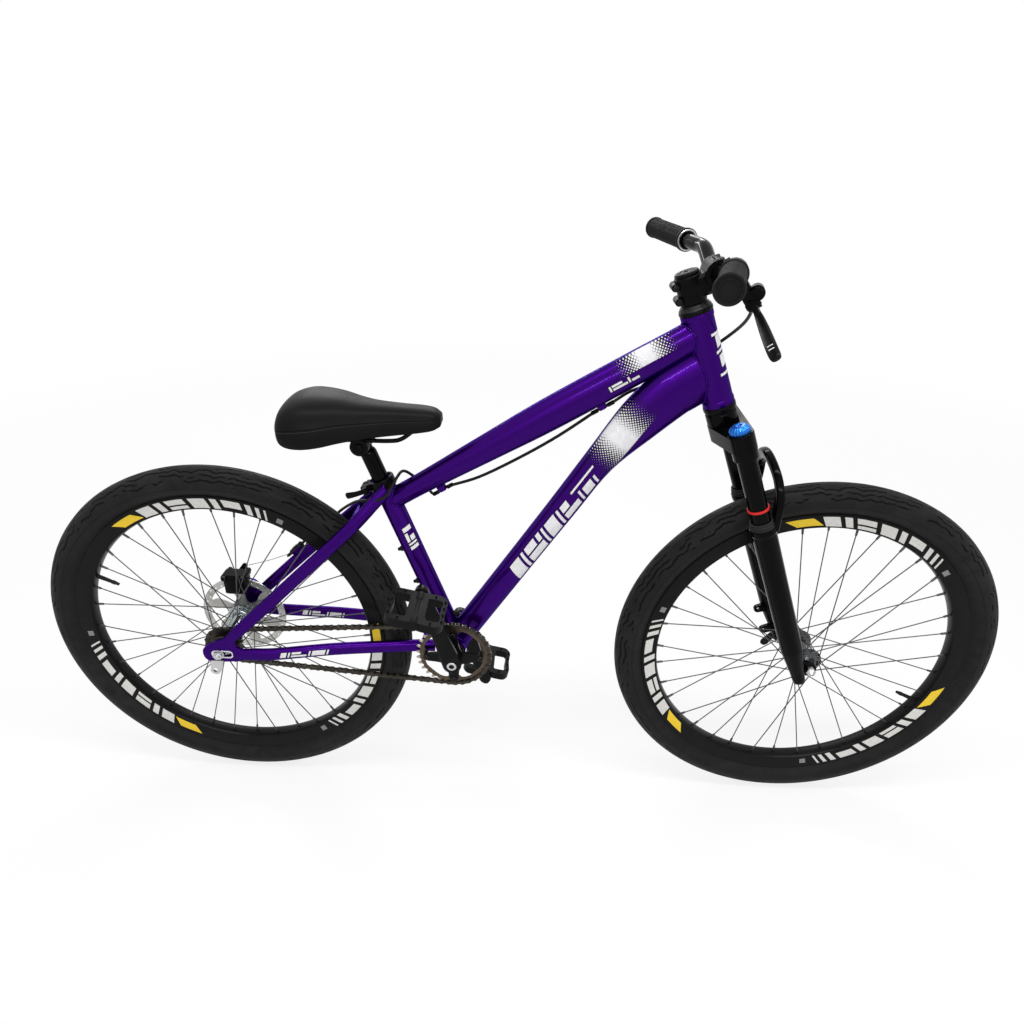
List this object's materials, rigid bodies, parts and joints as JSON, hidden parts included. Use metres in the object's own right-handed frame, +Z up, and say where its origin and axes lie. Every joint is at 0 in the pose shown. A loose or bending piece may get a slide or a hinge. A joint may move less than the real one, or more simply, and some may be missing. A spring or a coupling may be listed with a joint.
{
  "type": "freeride bicycle",
  "caption": "Hardtail bicycle with fat tyres, a suspension fork, a riser bar, single-speed chain drive, a rear disc brake and a low padded saddle.",
  "frame": {"origin": "on the ground, midway between the two axles, in the bicycle's middle plane", "axes": "+X ahead, +Y to the rider's left, +Z up; the bicycle stands upright with the handlebar straight"},
  "size_m": [1.715, 0.5856, 1.0351],
  "materials": {
    "violet_paint": "glossy metallic paint",
    "gloss_black": "gloss black",
    "satin_black": "satin black",
    "dark_grey": "dark oiled steel",
    "spoke_steel": "dark stainless",
    "silver_alloy": "silver",
    "chromed_hub": "mirror bright",
    "brushed_steel": "ground",
    "bronze_black": "dark bronze",
    "rubber": "matt black",
    "tyre_rubber": "matt black",
    "blue_anodised": "blue anodised",
    "red_rubber": "matt red",
    "black_saddle_cover": "matt black",
    "black_plastic": "matt black"
  },
  "bodies": {
    "frame": {"head_tube": "violet_paint", "top_tube": "violet_paint", "down_tube": "violet_paint", "seat_tube": "violet_paint", "bottom_bracket_shell": "violet_paint", "chainstay_right": "violet_paint", "chainstay_left": "violet_paint", "seatstay_right": "violet_paint", "seatstay_left": "violet_paint", "dropout_right": "violet_paint", "dropout_left": "violet_paint", "derailleur_hanger": "silver_alloy", "headset_upper_cup": "gloss_black", "headset_lower_cup": "gloss_black", "rear_axle": "silver_alloy", "brake_caliper": "satin_black", "seat_clamp": "satin_black", "chain": "dark_grey", "brake_housing": "rubber"},
    "steering": {"headset_cover": "dark_grey", "stem": "gloss_black", "stem_faceplate": "gloss_black", "stem_top_cap": "satin_black", "handlebar": "gloss_black", "grip_right": "rubber", "grip_left": "rubber", "brake_lever_body": "satin_black", "fork_crown": "gloss_black", "fork_stanchion_right": "gloss_black", "fork_stanchion_left": "gloss_black"},
    "brake_lever": {"brake_lever_blade": "satin_black"},
    "fork_knob": {"fork_knob": "blue_anodised"},
    "fork_lower": {"fork_lowers": "gloss_black", "front_axle": "silver_alloy"},
    "travel_ring": {"fork_travel_ring": "red_rubber"},
    "skewer_lever": {"front_skewer_lever": "silver_alloy"},
    "front_wheel": {"front_hub_shell": "chromed_hub", "front_rim": "gloss_black", "front_spokes_right": "spoke_steel", "front_spokes_left": "spoke_steel", "front_tyre": "tyre_rubber"},
    "rear_wheel": {"rear_hub_shell": "chromed_hub", "rear_rim": "gloss_black", "rear_spokes_right": "spoke_steel", "rear_spokes_left": "spoke_steel", "rear_tyre": "tyre_rubber", "brake_rotor": "brushed_steel"},
    "freewheel": {"freewheel": "dark_grey"},
    "cranks": {"crank_spindle": "brushed_steel", "crank_right": "satin_black", "crank_left": "satin_black", "chainring": "bronze_black"},
    "pedal_right": {"pedal_right": "satin_black"},
    "pedal_left": {"pedal_left": "satin_black"},
    "seatpost": {"seatpost": "gloss_black"},
    "saddle": {"saddle_clamp": "satin_black", "saddle_base": "black_plastic", "saddle_cover": "black_saddle_cover"},
    "seat_clamp_lever": {"seat_clamp_lever": "satin_black"},
    "caliper_arm": {"caliper_arm": "dark_grey"}
  },
  "joints": [
    {"name": "steering_turn", "type": "hinge", "parent": "frame", "child": "steering", "pos_m": [0.29541, 0, 0.83708], "axis": [-0.3551, 0, 0.9348], "range_deg": [-65, 65], "deforming": ["brake_housing"]},
    {"name": "brake_lever_pull", "type": "hinge", "parent": "steering", "child": "brake_lever", "pos_m": [0.29339, -0.15441, 0.97702], "axis": [-0.764, 0.1831, -0.6187], "range_deg": [0, 18], "stiffness_Nm_per_rad": 0.6, "springref_deg": -20.05},
    {"name": "fork_knob_turn", "type": "hinge", "parent": "steering", "child": "fork_knob", "pos_m": [0.32829, -0.0625, 0.78432], "axis": [-0.3551, 0, 0.9348], "range_deg": [-180, 180]},
    {"name": "fork_travel", "type": "slide", "parent": "steering", "child": "fork_lower", "axis": [-0.3551, 0, 0.9348], "range_m": [0, 0.1], "stiffness_N_per_m": 6000, "springref_m": -0.03},
    {"name": "travel_ring_slide", "type": "slide", "parent": "steering", "child": "travel_ring", "axis": [-0.3551, 0, 0.9348], "range_m": [0, 0.083]},
    {"name": "skewer_lever_open", "type": "hinge", "parent": "fork_lower", "child": "skewer_lever", "pos_m": [0.5225, 0.0686, 0.335], "axis": [0.8544, 0, -0.5196], "range_deg": [0, 160]},
    {"name": "front_wheel_spin", "type": "hinge", "parent": "fork_lower", "child": "front_wheel", "pos_m": [0.5225, 0, 0.335], "axis": [0, 1, 0], "continuous": true},
    {"name": "rear_wheel_spin", "type": "hinge", "parent": "frame", "child": "rear_wheel", "pos_m": [-0.5225, 0, 0.335], "axis": [0, 1, 0], "continuous": true},
    {"name": "crank_turn", "type": "hinge", "parent": "frame", "child": "cranks", "pos_m": [-0.10468, 0, 0.33], "axis": [0, 1, 0], "continuous": true, "deforming": ["chain"]},
    {"name": "freewheel_turn", "type": "hinge", "parent": "frame", "child": "freewheel", "pos_m": [-0.5225, 0, 0.335], "axis": [0, 1, 0], "continuous": true},
    {"name": "pedal_right_spin", "type": "hinge", "parent": "cranks", "child": "pedal_right", "pos_m": [-0.15088, -0.123, 0.4811], "axis": [0, 1, 0], "continuous": true},
    {"name": "pedal_left_spin", "type": "hinge", "parent": "cranks", "child": "pedal_left", "pos_m": [-0.05849, 0.123, 0.1789], "axis": [0, 1, 0], "continuous": true},
    {"name": "seatpost_slide", "type": "slide", "parent": "frame", "child": "seatpost", "axis": [-0.3363, 0, 0.9418], "range_m": [-0.03, 0.08]},
    {"name": "saddle_tilt", "type": "hinge", "parent": "seatpost", "child": "saddle", "pos_m": [-0.24457, 0, 0.72177], "axis": [0, 1, 0], "range_deg": [-10, 8]},
    {"name": "seat_clamp_open", "type": "hinge", "parent": "frame", "child": "seat_clamp_lever", "pos_m": [-0.24419, -0.0173, 0.64041], "axis": [-0.3363, 0, 0.9418], "range_deg": [0, 90]},
    {"name": "caliper_arm_pull", "type": "hinge", "parent": "frame", "child": "caliper_arm", "pos_m": [-0.5265, 0.0759, 0.41], "axis": [0, 1, 0], "range_deg": [0, 12]}
  ],
  "couplings": [
    {"joint": "travel_ring_slide", "follows": "fork_travel", "ratio": 0.82},
    {"joint": "freewheel_turn", "follows": "crank_turn", "ratio": 2},
    {"joint": "caliper_arm_pull", "follows": "brake_lever_pull", "ratio": 0.6}
  ]
}
